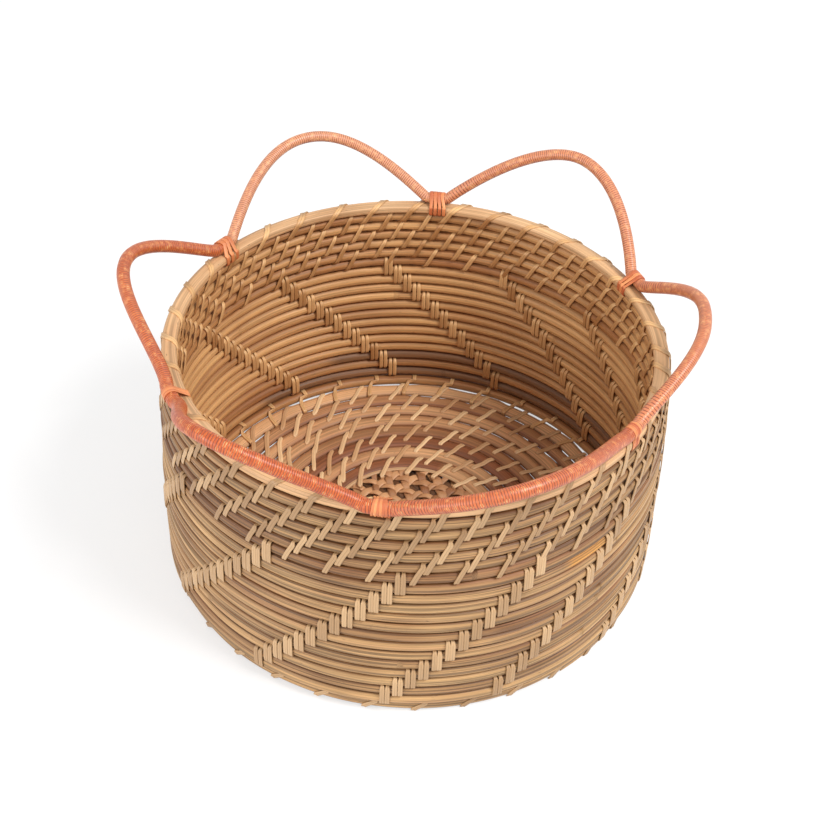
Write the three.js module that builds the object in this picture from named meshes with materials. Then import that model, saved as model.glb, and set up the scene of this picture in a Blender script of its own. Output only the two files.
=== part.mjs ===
// Scalloped basket of coiled cane, in millimetres, standing on z = 0 with +Z up.
// A flat coil makes the floor round a plaited centre, and a round coil climbs as the wall.
// Flat strips lace the courses together, a rim cane closes the wall, and six wrapped canes
// bent as leaning petals stand on the rim, lashed to it where they meet.
import * as THREE from 'three';
import { mergeVertices } from 'three/addons/utils/BufferGeometryUtils.js';

// Overall form
const rimRadius = 150; // outside of the rim cane
const footRadius = 155.5; // outside of the wall carried down to the floor
const bellySwell = 2.3; // how far the wall stands out past the straight line from rim to foot
const footTuck = 2.5; // how far the lowest course is drawn in

// Wall coil
const courseCount = 20;
const caneHeight = 6.35;
const caneDepth = 8.2; // radial
const caneBevel = 1.6; // along the cane's edges
const thinBevelShare = 0.3; // of the thickness, where a coil tapers too thin for its bevel
const wallCaneCount = 5; // lengths spliced end to end
const taperTip = 0.7; // thickness at a coil's tapered ends
const climbShare = 1 / 6; // part of a turn in which a coil moves on to the next course

// Rim cane
const rimHeight = 5.55;
const rimDepth = 9; // radial
const rimBevel = 1.4;

// Floor
const floorTurns = 8;
const floorThickness = 4;
const floorStripWidth = 8.8;
const floorGap = 2.6; // between rows, and between the last row and the wall
const floorBevel = 1;
const plaitThickness = 3;

// Lacing strips
const stripThickness = 0.65;
const laceWidth = 5.9; // a pair of strips side by side
const laceStep = 2.65; // degrees from one stitch of a chain to the next
const laceStitches = 13; // stitches up one chain
const laceStarts = [
  7.8, 35.1, 67.1, 96.9, 125.8, 153.1, 181, 208.8, 237.6, 267, 291.5, 322, 342.7,
]; // degrees at the lowest stitch of each chain
const laceTail = 6; // end tucked in on the floor's outermost row
const rimStripWidth = 3;
const rimWraps = 7; // stitches over the rim between two lashings

// Scallops, counted from the first lashing
const scallopCount = 6;
const firstLashing = 26.5; // degrees
const scallopRadius = 3.6; // of the wrapped cane
const scallopInset = 2.5; // from the rim's outside in to the middle of the canes that stand on it
const scallopHeights = [58.5, 63, 53, 57, 57, 51]; // along each leaning petal
const scallopLeans = [40, 56, 53, 50, 50, 45.5]; // degrees outward from upright
const scallopFoot = 7; // straight end under the lashing
const petalStations = [0, 0.4, 0.62, 0.8, 0.92, 1]; // from the crown to a foot, in half widths
const petalPower = 2.1; // fullness of the petal's crown
const petalFlare = 1.25; // spread of the petal towards its feet

// Lashings
const lashTurns = 3;
const lashWidth = 2.7;
const lashPitch = 3.3;
const lashBends = 4; // corners over the back of the canes, of 8 round a full turn
const lashSlope = 0.4; // rise of the strip's outer face where it comes down inside

// Fits
const clearance = 0.3;
const faceClearance = 0.6; // between a strip and the faceted cane that it crosses

// Facets
const steps = 24; // round one turn
const coilStartStep = 21; // where both coils start, in steps
const scallopSteps = 30;
const scallopSides = 6;

const roundingError = 1e-9; // of a step count
const mergeDistance = 1e-4; // between corners that are one

const fullTurn = 2 * Math.PI;
const stepAngle = fullTurn / steps;
const facetStart = THREE.MathUtils.degToRad(firstLashing) + stepAngle / 2;
const coilStart = facetStart + coilStartStep * stepAngle;
const courseGap = stripThickness + 2 * clearance;
const coursePitch = caneHeight + courseGap;
const rimBottom = courseGap + courseCount * coursePitch;
const rimTop = rimBottom + rimHeight;
const floorPitch = floorStripWidth + floorGap;
const scallopSeat = rimRadius - scallopInset;

const finishes = {
  wall: { color: 0xc9a06c, roughness: 0.55, metalness: 0 },
  floor: { color: 0xb98656, roughness: 0.55, metalness: 0 },
  rim: { color: 0xd2a878, roughness: 0.5, metalness: 0 },
  lace: { color: 0xd3b883, roughness: 0.5, metalness: 0 },
  scallop: { color: 0xd98253, roughness: 0.45, metalness: 0 },
  lashing: { color: 0xdd8f52, roughness: 0.4, metalness: 0 },
};

const basket = new THREE.Group();

function addPiece(name, geometry, finish) {
  const piece = new THREE.Mesh(geometry, new THREE.MeshStandardMaterial(finishes[finish]));
  piece.name = name;
  basket.add(piece);
}

// A winding is one unbroken length, so its least gap to itself is measured and printed
function addWinding(name, rings, finish, ringsPerTurn) {
  let least = Infinity;
  for (let near = 0; near < rings.length; near += 1) {
    for (let far = near + Math.ceil(ringsPerTurn / 2); far < rings.length; far += 1) {
      for (const point of rings[near]) {
        for (const other of rings[far]) least = Math.min(least, point.distanceTo(other));
      }
    }
  }
  console.log(`${name}: least gap to itself ${least.toFixed(2)} mm`);
  addPiece(name, loft(rings), finish);
}

// A point from its radius, angle and height
function polar(radius, angle, height) {
  return new THREE.Vector3(radius * Math.cos(angle), radius * Math.sin(angle), height);
}

// Skins a row of equal point rings into one closed body, with flat ends or as a hoop
function loft(rings, isHoop = false) {
  const sides = rings[0].length;
  const faces = [];
  const spans = isHoop ? rings.length : rings.length - 1;
  for (let row = 0; row < spans; row += 1) {
    const next = (row + 1) % rings.length;
    for (let side = 0; side < sides; side += 1) {
      const after = (side + 1) % sides;
      const a = row * sides + side;
      const b = row * sides + after;
      const c = next * sides + after;
      const d = next * sides + side;
      faces.push([a, d, b], [b, d, c]);
    }
  }
  if (!isHoop) {
    const last = (rings.length - 1) * sides;
    for (let side = 1; side < sides - 1; side += 1) {
      faces.push([0, side, side + 1], [last, last + side + 1, last + side]);
    }
  }
  const points = rings.flat();
  const facesOut = signedVolume(points, faces) > 0;
  const geometry = new THREE.BufferGeometry().setFromPoints(points);
  geometry.setIndex(faces.flatMap(([a, b, c]) => (facesOut ? [a, b, c] : [a, c, b])));
  return geometry;
}

function signedVolume(points, faces) {
  const cross = new THREE.Vector3();
  let volume = 0;
  for (const [a, b, c] of faces) {
    volume += points[a].dot(cross.crossVectors(points[b], points[c])) / 6;
  }
  return volume;
}

// Courses climbed after a number of turns: level, then a ramp, with straight facets
function climb(turn) {
  const courseAt = (step) => {
    const whole = Math.floor(step / steps + roundingError);
    return whole + THREE.MathUtils.smoothstep(step / steps - whole, 1 - climbShare, 1);
  };
  const step = turn * steps;
  const low = Math.floor(step);
  return THREE.MathUtils.lerp(courseAt(low), courseAt(low + 1), step - low);
}

// Radius of a flat facet at an angle, as a share of the radius at its corners
function facet(angle) {
  const past = THREE.MathUtils.euclideanModulo(angle - facetStart, stepAngle);
  return Math.cos(stepAngle / 2) / Math.cos(past - stepAngle / 2);
}

// Lower and upper limits of a coil of stacked courses, which tapers out at both ends
function courseSpan(turn, count, pitch, gap) {
  return {
    low: pitch * Math.max(climb(turn), 0),
    high: pitch * Math.min(climb(turn + 1), count) - gap,
  };
}

// First and last turn at which a coil is still thicker than its tapered tip
function coilEnds(count, pitch, gap) {
  const isThick = (step) => {
    const { low, high } = courseSpan(step / steps, count, pitch, gap);
    return high - low >= taperTip;
  };
  let first = -steps;
  while (!isThick(first)) first += 1;
  let last = count * steps;
  while (!isThick(last)) last -= 1;
  return [first, last];
}

// Turns at which a length of coil has its rings, with a splice gap where it isn't a tip
function ringTurns(firstStep, lastStep, gapTurn, isFirst, isLast) {
  const turns = [];
  for (let step = firstStep; step <= lastStep; step += 1) turns.push(step / steps);
  if (!isFirst) turns[0] += gapTurn / 2;
  if (!isLast) turns[turns.length - 1] -= gapTurn / 2;
  return turns;
}

// Outside radius of the wall at a height
function wallRadius(height) {
  const down = THREE.MathUtils.clamp(1 - height / rimTop, 0, 1);
  return THREE.MathUtils.lerp(rimRadius, footRadius, down) + 4 * bellySwell * down * (1 - down);
}

function courseBottom(turn) {
  return courseGap + courseSpan(turn, courseCount, coursePitch, courseGap).low;
}

function courseTop(turn) {
  return courseGap + courseSpan(turn, courseCount, coursePitch, courseGap).high;
}

function courseRadius(turn) {
  const level = Math.max(climb(turn), 0);
  const tuck = footTuck * Math.max(1 - level, 0);
  return wallRadius(courseGap + level * coursePitch + caneHeight / 2) - tuck;
}

// Cane section: flat outside, with rounded edges and a fuller middle
function caneSection(angle, outer, inner, bottom, top) {
  const bevel = Math.min(caneBevel, (top - bottom) * thinBevelShare);
  const middle = (outer + inner) / 2;
  return [
    polar(outer, angle, bottom + bevel),
    polar(outer, angle, top - bevel),
    polar(middle, angle, top),
    polar(inner, angle, top - bevel),
    polar(inner, angle, bottom + bevel),
    polar(middle, angle, bottom),
  ];
}

function wallCaneRings(firstStep, lastStep, isFirst, isLast) {
  const gapTurn = clearance / (fullTurn * footRadius);
  return ringTurns(firstStep, lastStep, gapTurn, isFirst, isLast).map((turn) => {
    const outer = courseRadius(turn);
    const angle = coilStart + turn * fullTurn;
    return caneSection(angle, outer, outer - caneDepth, courseBottom(turn), courseTop(turn));
  });
}

const [wallFirst, wallLast] = coilEnds(courseCount, coursePitch, courseGap);
const spliceStep = (index) => Math.round(wallFirst + ((wallLast - wallFirst) * index) / wallCaneCount);
for (let length = 0; length < wallCaneCount; length += 1) {
  const isFirst = length === 0;
  const isLast = length === wallCaneCount - 1;
  const rings = wallCaneRings(spliceStep(length), spliceStep(length + 1), isFirst, isLast);
  addWinding(`wall_cane_${length + 1}`, rings, 'wall', steps);
}

// Rim cane: a hoop with a flat top
const rimInner = rimRadius - rimDepth;
const rimRings = [];
for (let step = 0; step < steps; step += 1) {
  const angle = facetStart + step * stepAngle;
  rimRings.push([
    polar(rimRadius, angle, rimBottom + rimBevel),
    polar(rimRadius, angle, rimTop - rimBevel),
    polar(rimRadius - rimBevel, angle, rimTop),
    polar(rimInner + rimBevel, angle, rimTop),
    polar(rimInner, angle, rimTop - rimBevel),
    polar(rimInner, angle, rimBottom + rimBevel),
    polar(rimInner + rimBevel, angle, rimBottom),
    polar(rimRadius - rimBevel, angle, rimBottom),
  ]);
}
addPiece('rim_cane', loft(rimRings, true), 'rim');

// Floor coil: a flat strip on edge beside the last, with its underside on the ground
const floorOuter = courseRadius(0) - caneDepth - floorGap;
const floorInner = floorOuter - (floorTurns * floorPitch - floorGap);
const [floorFirst, floorLast] = coilEnds(floorTurns, floorPitch, floorGap);
const floorRings = ringTurns(floorFirst, floorLast, 0, true, true).map((turn) => {
  const { low, high } = courseSpan(turn, floorTurns, floorPitch, floorGap);
  const inner = floorInner + low;
  const outer = floorInner + high;
  const bevel = Math.min(floorBevel, (outer - inner) * thinBevelShare);
  const angle = coilStart + turn * fullTurn;
  return [
    polar(outer, angle, 0),
    polar(outer, angle, floorThickness - bevel),
    polar(outer - bevel, angle, floorThickness),
    polar(inner + bevel, angle, floorThickness),
    polar(inner, angle, floorThickness - bevel),
    polar(inner, angle, 0),
  ];
});
addWinding('floor_coil', floorRings, 'floor', steps);

// Plaited centre, held inside the floor coil
const plaitRadius = floorInner - clearance;
const plait = new THREE.CylinderGeometry(plaitRadius, plaitRadius, plaitThickness, steps);
plait.rotateX(Math.PI / 2);
plait.rotateZ(facetStart + Math.PI / 2);
plait.translate(0, 0, plaitThickness / 2);
addPiece('plaited_centre', bare(plait), 'floor');

// A geometry with shared corners and nothing but its shape
function bare(geometry) {
  geometry.deleteAttribute('normal');
  geometry.deleteAttribute('uv');
  return mergeVertices(geometry, mergeDistance);
}

// Rings of a flat strip through bends, each at an angle, radius and height of its inner face.
// A bend's lean says how the outer face lies from there, in thicknesses.
function stripRings(bends, width) {
  return bends.map(({ angle, radius, height, lean }) => {
    const half = width / 2 / radius;
    const outRadius = radius + lean[0] * stripThickness;
    const outHeight = height + lean[1] * stripThickness;
    const left = angle - half;
    const right = angle + half;
    return [
      polar(radius * facet(left), left, height),
      polar(radius * facet(right), right, height),
      polar(outRadius * facet(right), right, outHeight),
      polar(outRadius * facet(left), left, outHeight),
    ];
  });
}

// Lacing strip of the wall: its end lies on the floor and goes out over the foot course. Each
// stitch goes up over two courses outside, in over them, down past one course inside and out
// again under it, one step along. Where the coil climbs, the start is counted from the near course
function wallLacing(startAngle) {
  const halfClimb = (climbShare * fullTurn) / 2;
  const pastClimb = THREE.MathUtils.euclideanModulo(startAngle - coilStart + halfClimb, fullTurn);
  const startTurn = (pastClimb - halfClimb) / fullTurn;
  const stepTurn = laceStep / 360;
  const turnOf = (stitch) => startTurn + 1 + stitch * (1 + stepTurn);
  const angleOf = (stitch) => coilStart + turnOf(stitch) * fullTurn;
  const under = (turn) => courseBottom(turn) - clearance;
  const over = (turn) => courseTop(turn) + clearance;
  const firstAngle = angleOf(0);
  const floorOver = floorThickness + clearance + stripThickness;
  const tailRadius = courseRadius(0) - caneDepth - faceClearance - stripThickness;
  const bends = [
    { angle: firstAngle, radius: floorOuter - laceTail, height: floorOver, lean: [0, -1] },
    { angle: firstAngle, radius: tailRadius, height: floorOver, lean: [1, -1] },
    { angle: firstAngle, radius: tailRadius, height: under(turnOf(0)), lean: [1, -1] },
  ];
  for (let stitch = 0; stitch < laceStitches; stitch += 1) {
    const lower = turnOf(stitch);
    const upper = lower + 1;
    const angle = angleOf(stitch);
    const outer = Math.max(courseRadius(lower), courseRadius(upper)) + faceClearance;
    const inner = courseRadius(upper) - caneDepth - faceClearance;
    bends.push({ angle, radius: outer, height: under(lower), lean: [1, -1] });
    bends.push({ angle, radius: outer, height: over(upper), lean: [1, 1] });
    bends.push({ angle, radius: inner, height: over(upper), lean: [-1, 1] });
    bends.push({
      angle: angleOf(stitch + 1),
      radius: inner,
      height: under(turnOf(stitch + 1)),
      lean: [-1, -1],
    });
  }
  return loft(stripRings(bends, laceWidth));
}

for (const [chain, start] of laceStarts.entries()) {
  const lacing = wallLacing(THREE.MathUtils.degToRad(start));
  addPiece(`wall_lacing_${String(chain + 1).padStart(2, '0')}`, lacing, 'lace');
}

// Rim stitches: one strip between two lashings, over the rim and under the course below it
function rimLacing(lashingAngle) {
  const wrapAngle = fullTurn / scallopCount / rimWraps;
  const outer = Math.max(rimRadius, courseRadius(courseCount - 1)) + faceClearance;
  const inner = rimInner - faceClearance;
  const bends = [];
  for (let wrap = 0; wrap < rimWraps; wrap += 1) {
    const angle = lashingAngle + (wrap + 0.5) * wrapAngle;
    const height = underTopCourse(angle);
    bends.push({ angle, radius: outer, height, lean: [1, -1] });
    bends.push({ angle, radius: outer, height: rimTop + clearance, lean: [1, 1] });
    bends.push({ angle, radius: inner, height: rimTop + clearance, lean: [-1, 1] });
    if (wrap < rimWraps - 1) {
      const next = angle + wrapAngle;
      bends.push({ angle: next, radius: inner, height: underTopCourse(next), lean: [-1, -1] });
    }
  }
  return loft(stripRings(bends, rimStripWidth));
}

// Height just under the highest course that lies mostly below the rim at an angle
function underTopCourse(angle) {
  const part = THREE.MathUtils.euclideanModulo(angle - coilStart, fullTurn) / fullTurn;
  const last = courseCount - 1 + part;
  const isFull = courseTop(last) - courseBottom(last) > caneHeight / 2;
  return courseBottom(isFull ? last : last - 1) - clearance;
}

// Scallop cane: a petal over the chord between two lashings, leaning outward
function scallopCurve(index) {
  const share = fullTurn / scallopCount;
  const startAngle = THREE.MathUtils.degToRad(firstLashing) + index * share;
  const endAngle = startAngle + share;
  const height = rimTop + clearance + scallopRadius;
  const foot = (angle, along) => {
    const alongRim = new THREE.Vector3(-Math.sin(angle), Math.cos(angle), 0);
    return polar(scallopSeat * facet(angle), angle, height).addScaledVector(alongRim, along);
  };
  const start = foot(startAngle, scallopFoot);
  const end = foot(endAngle, -scallopFoot);
  const middle = start.clone().lerp(end, 0.5);
  const half = end.clone().sub(start).multiplyScalar(0.5);
  const lean = THREE.MathUtils.degToRad(scallopLeans[index]);
  const rise = polar(Math.sin(lean), startAngle + share / 2, Math.cos(lean));
  const points = [foot(startAngle, clearance / 2), foot(startAngle, scallopFoot / 2)];
  const firstHalf = petalStations.slice(1).reverse().map((station) => -station);
  for (const station of [...firstHalf, ...petalStations]) {
    const reach = (1 - Math.abs(station) ** petalPower) ** petalFlare;
    const point = middle.clone().addScaledVector(half, station);
    points.push(point.addScaledVector(rise, reach * scallopHeights[index]));
  }
  points.push(foot(endAngle, -scallopFoot / 2), foot(endAngle, -clearance / 2));
  return new THREE.CatmullRomCurve3(points, false, 'centripetal');
}

function roundSection(radius, sides) {
  const section = new THREE.Shape();
  for (let side = 0; side < sides; side += 1) {
    const angle = (side * fullTurn) / sides;
    const corner = [radius * Math.cos(angle), radius * Math.sin(angle)];
    if (side === 0) section.moveTo(...corner);
    else section.lineTo(...corner);
  }
  section.closePath();
  return section;
}

// Lashing: a strip wound round the rim cane and the two canes that meet on it
function lashingRings(angle) {
  const seatHeight = rimTop + clearance + scallopRadius;
  const wrapAngle = Math.PI / lashBends;
  const wrapRadius = (scallopRadius + clearance) / Math.cos(wrapAngle / 2);
  const spread = 1 / Math.cos(wrapAngle / 2);
  const bends = [];
  for (let turn = 0; turn < lashTurns; turn += 1) {
    const turnAngle = angle + ((turn - (lashTurns - 1) / 2) * lashPitch) / scallopSeat;
    const bend = (radius, height, lean) => bends.push({ angle: turnAngle, radius, height, lean });
    bend(rimRadius + faceClearance, rimBottom - clearance, [1, -1]);
    for (let corner = 0; corner < lashBends; corner += 1) {
      const round = [Math.cos(corner * wrapAngle), Math.sin(corner * wrapAngle)];
      const radius = scallopSeat + wrapRadius * round[0];
      const height = seatHeight + wrapRadius * round[1];
      bend(radius, height, [spread * round[0], spread * round[1]]);
    }
    bend(rimInner - faceClearance, rimTop + clearance, [-1, lashSlope]);
    bend(rimInner - faceClearance, rimBottom - clearance, [-1, -1]);
  }
  return stripRings(bends, lashWidth);
}

for (let index = 0; index < scallopCount; index += 1) {
  const angle = THREE.MathUtils.degToRad(firstLashing) + (index * fullTurn) / scallopCount;
  const tube = new THREE.ExtrudeGeometry(roundSection(scallopRadius, scallopSides), {
    steps: scallopSteps,
    bevelEnabled: false,
    extrudePath: scallopCurve(index),
  });
  addPiece(`rim_lacing_${index + 1}`, rimLacing(angle), 'lace');
  addPiece(`scallop_cane_${index + 1}`, bare(tube), 'scallop');
  const rings = lashingRings(angle);
  addWinding(`scallop_lashing_${index + 1}`, rings, 'lashing', rings.length / lashTurns);
}

export default basket;
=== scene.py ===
# Scalloped cane basket: coiled wall and floor, lacing strips, wrapped petals and lashings
import bpy
import bmesh
import random
from bisect import bisect_left
from itertools import accumulate
from math import copysign, cos, exp, floor, pi, radians, sin, sqrt, tan, tau
from mathutils import Matrix, Vector, noise


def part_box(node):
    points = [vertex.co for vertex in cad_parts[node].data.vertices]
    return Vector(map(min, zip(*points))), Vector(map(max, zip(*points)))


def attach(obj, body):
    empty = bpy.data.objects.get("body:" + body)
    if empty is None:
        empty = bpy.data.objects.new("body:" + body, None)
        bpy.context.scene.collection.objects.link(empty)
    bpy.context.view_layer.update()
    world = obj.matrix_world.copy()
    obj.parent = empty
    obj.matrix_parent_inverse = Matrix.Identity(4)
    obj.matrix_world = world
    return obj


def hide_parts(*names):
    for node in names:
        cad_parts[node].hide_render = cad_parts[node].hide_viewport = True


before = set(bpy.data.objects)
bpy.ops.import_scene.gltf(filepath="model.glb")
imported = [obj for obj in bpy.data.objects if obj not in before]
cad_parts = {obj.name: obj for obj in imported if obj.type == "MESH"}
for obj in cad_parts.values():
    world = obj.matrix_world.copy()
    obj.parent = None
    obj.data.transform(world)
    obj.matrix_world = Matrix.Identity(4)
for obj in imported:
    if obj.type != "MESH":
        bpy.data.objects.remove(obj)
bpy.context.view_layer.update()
mm = 0.001
upward = Vector((0, 0, 1))
weldDistance = 1e-7
strandLabels = ("tone", "inner", "grey")
grainOutputs = dict(Color="Color", Roughness="Float", Height="Float")
shaderInputs = ("Normal", "Base Color", "Roughness", "Coat Weight", "Coat Roughness")


def sizes(**lengths):  # lengths in mm
    return {name: value * mm for name, value in lengths.items()}


# The wall's coil, in the solids' own sizes
wall = dict(
    courses=20, climbShare=1 / 6, startAngle=radians(349), top=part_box("rim_cane")[1][2],
    **sizes(height=6.35, gap=1.25, depth=8.2, rimRadius=150, footRadius=155.5, belly=2.3, tuck=2.5),
)
wall["pitch"] = wall["height"] + wall["gap"]


def unit(value):
    return min(max(value, 0.0), 1.0)


def smooth(value):
    value = unit(value)
    return value * value * (3 - 2 * value)


def mix(low, high, share):
    return low + (high - low) * share


def wander(x, y, z=0.0):  # smooth noise, about -1 to 1
    return noise.noise(Vector((x, y, z)))


def ringWander(angle, reach, level):  # the same, closed round the basket
    return wander(cos(angle) * reach, sin(angle) * reach, level)


def window(value, low, high, ease):  # 1 from low to high, eased at both ends
    return smooth((value - low) / ease) * smooth((high - value) / ease)


def table(keys, *rows):  # one dict for each row of numbers
    return [dict(zip(keys.split(), row)) for row in rows]


def polar(radius, angle, height):
    return Vector((radius * cos(angle), radius * sin(angle), height))


def climb(turn):  # level for most of a turn, then up one course
    whole = floor(turn + 1e-9)
    return whole + smooth((turn - whole - 1 + wall["climbShare"]) / wall["climbShare"])


def courseBottom(turn):
    return wall["gap"] + wall["pitch"] * max(climb(turn), 0)


def courseTop(turn):
    return wall["pitch"] * min(climb(turn + 1), wall["courses"])


def wallRadius(height):
    down = unit(1 - height / wall["top"])
    return mix(wall["rimRadius"], wall["footRadius"], down) + 4 * wall["belly"] * down * (1 - down)


def courseRadius(turn):
    level = max(climb(turn), 0)
    tuck = wall["tuck"] * max(1 - level, 0)
    return wallRadius(wall["gap"] + level * wall["pitch"] + wall["height"] / 2) - tuck


def turnAngle(turn):
    return wall["startAngle"] + turn * tau


def angleTurn(angle):  # share of a turn past the coil's start
    return ((angle - wall["startAngle"]) % tau) / tau


# A grid is rolled into a tube or a strip, and its seam is welded
def newMesh():
    shape = bmesh.new()
    shape.loops.layers.uv.new("strandUv")
    for label in strandLabels:
        shape.verts.layers.float.new(label)
    return shape


def roll(shape, rings):
    # rings: rows of (place, along, around, tone, inner, grey) with the first point repeated last
    longCount, roundCount = len(rings) - 1, len(rings[0]) - 1
    uvLayer = shape.loops.layers.uv["strandUv"]
    layers = [shape.verts.layers.float[label] for label in strandLabels]
    made = bmesh.ops.create_grid(
        shape, x_segments=longCount, y_segments=roundCount, size=0.5)["verts"]
    faces, uvs = set(), {}
    for vert in made:
        row = rings[round((vert.co.x + 0.5) * longCount)][round((vert.co.y + 0.5) * roundCount)]
        vert.co, uvs[vert] = row[0], row[1:3]
        for layer, value in zip(layers, row[3:]):
            vert[layer] = value
        faces.update(vert.link_faces)
    for face in faces:
        for loop in face.loops:
            loop[uvLayer].uv = uvs[loop.vert]
    bmesh.ops.remove_doubles(shape, verts=made, dist=weldDistance)
    if (rings[0][0][0] - rings[-1][0][0]).length > weldDistance:  # not a hoop
        rim = list({e for f in faces if f.is_valid for e in f.edges if e.is_boundary})
        bmesh.ops.holes_fill(shape, edges=rim, sides=0)


def newObject(name, data):
    made = bpy.data.objects.new(name, data)
    bpy.context.scene.collection.objects.link(made)
    return made


def meshObject(name, shape, material):
    mesh = bpy.data.meshes.new(name)
    shape.to_mesh(mesh)
    shape.free()
    mesh.materials.append(material)
    return newObject(name, mesh)


def finishPiece(name, strands, finish, nodes=()):
    shape, (material, slot) = newMesh(), finish
    for rings in strands:
        roll(shape, rings)
    bmesh.ops.recalc_face_normals(shape, faces=shape.faces[:])
    piece = meshObject(name, shape, material)
    piece.data.shade_smooth()
    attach(piece, "root")
    if nodes:
        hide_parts(*nodes)


# A cane's section, with a flatter outside (square > 2) than inside
def caneSection(sides, outSquare, inSquare):
    points = []
    for side in range(sides + 1):
        angle = tau * (side + 0.5) / sides
        across, up = cos(angle), sin(angle)
        power = 2 / (outSquare if across > 0 else inSquare)
        points.append((
            copysign(abs(across) ** power, across), copysign(abs(up) ** power, up), side / sides))
    return points


def caneRing(section, angle, middle, half, along, girth, tone, grey=0.0, paintedShade=0.0, sided=0.0):
    # middle and half: radius and height; painted shade darkens both sides, towards the gaps between
    # canes
    return [
        (polar(middle[0] + across * half[0], angle, middle[1] + up * half[1]), along, share * girth,
         tone - paintedShade * abs(across) ** 3, sided * (0.5 - 0.5 * across), grey)
        for across, up, share in section
    ]


def hoopRings(look):
    section = caneSection(look["sides"], look["square"], look["square"])
    rings = []
    for step in range(look["rings"] + 1):
        angle = tau * step / look["rings"]
        radius = look["radius"] + look["sway"] * ringWander(angle, *look["swayNoise"])
        tone = look["tone"] + look["toneDrift"] * ringWander(angle, 4, 2.1)
        rings.append(caneRing(
            section, angle, (radius - look["inset"], look["middle"]), look["half"], angle * radius,
            look["girth"], tone, sided=look["sided"]))
    return rings


# Shader tools
def srgb(*channels):  # a colour of 0 to 255, as light
    shares = [value / 255 for value in channels]
    light = [s / 12.92 if s <= 0.04045 else ((s + 0.055) / 1.055) ** 2.4 for s in shares]
    return (*light, 1.0)


def give(tree, socket, value):  # a socket is linked, a value is set
    if isinstance(value, bpy.types.NodeSocket):
        tree.links.new(value, socket)
    else:
        socket.default_value = value


def addNode(tree, kind, inputs=None, **settings):
    node = tree.nodes.new("ShaderNode" + kind)
    for key, value in settings.items():
        setattr(node, key, value)
    for key, value in (inputs or {}).items():
        give(tree, node.inputs[key], value)
    return node


def calc(tree, operation, first, second=0.0, third=None):
    inputs = {0: first, 1: second}
    if third is not None:
        inputs[2] = third
    return addNode(tree, "Math", inputs, operation=operation).outputs[0]


def blend(tree, share, first, second, kind="MIX"):
    inputs = {0: share, 6: first, 7: second}
    node = addNode(tree, "Mix", inputs, data_type="RGBA", blend_type=kind, clamp_factor=True)
    return node.outputs[2]


def spread(tree, value, low, high, outLow=0.0, outHigh=1.0):
    inputs = dict(enumerate((value, low, high, outLow, outHigh)))
    return addNode(tree, "MapRange", inputs, clamp=True).outputs[0]


def speckle(tree, vector, detail=2.0, rough=0.5, scale=1.0):
    inputs = {"Vector": vector, "Scale": scale, "Detail": detail, "Roughness": rough}
    return addNode(tree, "TexNoise", inputs).outputs[0]


def fibres(tree, values, factors, detail=3.0, rough=0.6):  # noise drawn out along a strand
    parts = {k: calc(tree, "MULTIPLY", *pair) for k, pair in enumerate(zip(values, factors))}
    return speckle(tree, addNode(tree, "CombineXYZ", parts).outputs[0], detail, rough)


def attribute(tree, name):
    return addNode(tree, "Attribute", attribute_name=name, attribute_type="GEOMETRY").outputs["Fac"]


def patches(tree, scale):  # blotches that lie in space
    return speckle(tree, addNode(tree, "TexCoord").outputs["Object"], scale=scale)


# A group gives the colour, roughness and height of a strand
def newGroup(name, **inputs):
    tree = bpy.data.node_groups.new(name, "ShaderNodeTree")
    for way, sockets in (("INPUT", inputs), ("OUTPUT", grainOutputs)):
        for label, kind in sockets.items():
            tree.interface.new_socket(label, in_out=way, socket_type="NodeSocket" + kind)
    uv = addNode(tree, "SeparateXYZ", {0: addNode(tree, "UVMap", uv_map="strandUv").outputs[0]})
    return tree, tree.nodes.new("NodeGroupInput").outputs, uv.outputs[0], uv.outputs[1]


def endGroup(tree, *values):
    end = tree.nodes.new("NodeGroupOutput")
    for label, value in zip(grainOutputs, values):
        tree.links.new(value, end.inputs[label])
    return tree


# Grain of a peeled cane: a texture's scales and detail, a range's low, high and what they become
grainLook = dict(
    ridge=(6.0, 900.0, 2.0), hair=(30.0, 2400.0, 2.0), stain=(14.0, 110.0, 3.0),
    fleck=(160.0, 900.0, 1.0), patchScale=21.0, patchRange=(0.3, 0.7), patchShare=0.3,
    shadeRange=(0.05, 1.2), stainRange=(0.5, 0.75, 0.0, 0.4), ridgeRange=(0.39, 0.56, 0.46, 1.16),
    hairRange=(0.35, 0.65, 0.72, 1.16), meanLine=0.94, fleckRange=(0.71, 0.79, 0.0, 0.65),
    fleckColor=srgb(84, 54, 32), hairHeight=0.25, roughRange=(0.3, 0.7, 0.62, 0.44),
)


def makeCaneGrain():
    look = grainLook
    tree, given, along, around = newGroup(
        "caneGrain", Light="Color", Dark="Color", Blush="Color", Ridges="Float", Lines="Float")
    ridge, hair, stain, fleck = (
        fibres(tree, (along, around), look[name], look[name][2], 0.5)
        for name in ("ridge", "hair", "stain", "fleck")
    )
    patch = spread(tree, patches(tree, look["patchScale"]), *look["patchRange"])
    shade = calc(tree, "MULTIPLY_ADD", patch, look["patchShare"], attribute(tree, "tone"))
    color = blend(tree, spread(tree, shade, *look["shadeRange"]), given["Dark"], given["Light"])
    color = blend(tree, spread(tree, stain, *look["stainRange"]), color, given["Blush"])
    lines = calc(tree, "MULTIPLY", spread(tree, ridge, *look["ridgeRange"]),
                 spread(tree, hair, *look["hairRange"]))
    lines = calc(tree, "SUBTRACT", lines, look["meanLine"])
    lines = calc(tree, "MULTIPLY_ADD", lines, given["Lines"], look["meanLine"])
    lines = addNode(tree, "CombineXYZ", {0: lines, 1: lines, 2: lines}).outputs[0]
    color = blend(tree, 1.0, color, lines, "MULTIPLY")
    color = blend(tree, spread(tree, fleck, *look["fleckRange"]), color, look["fleckColor"])
    height = calc(tree, "MULTIPLY", ridge, given["Ridges"])
    height = calc(tree, "MULTIPLY_ADD", hair, look["hairHeight"], height)
    return endGroup(tree, color, spread(tree, hair, *look["roughRange"]), height)


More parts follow.
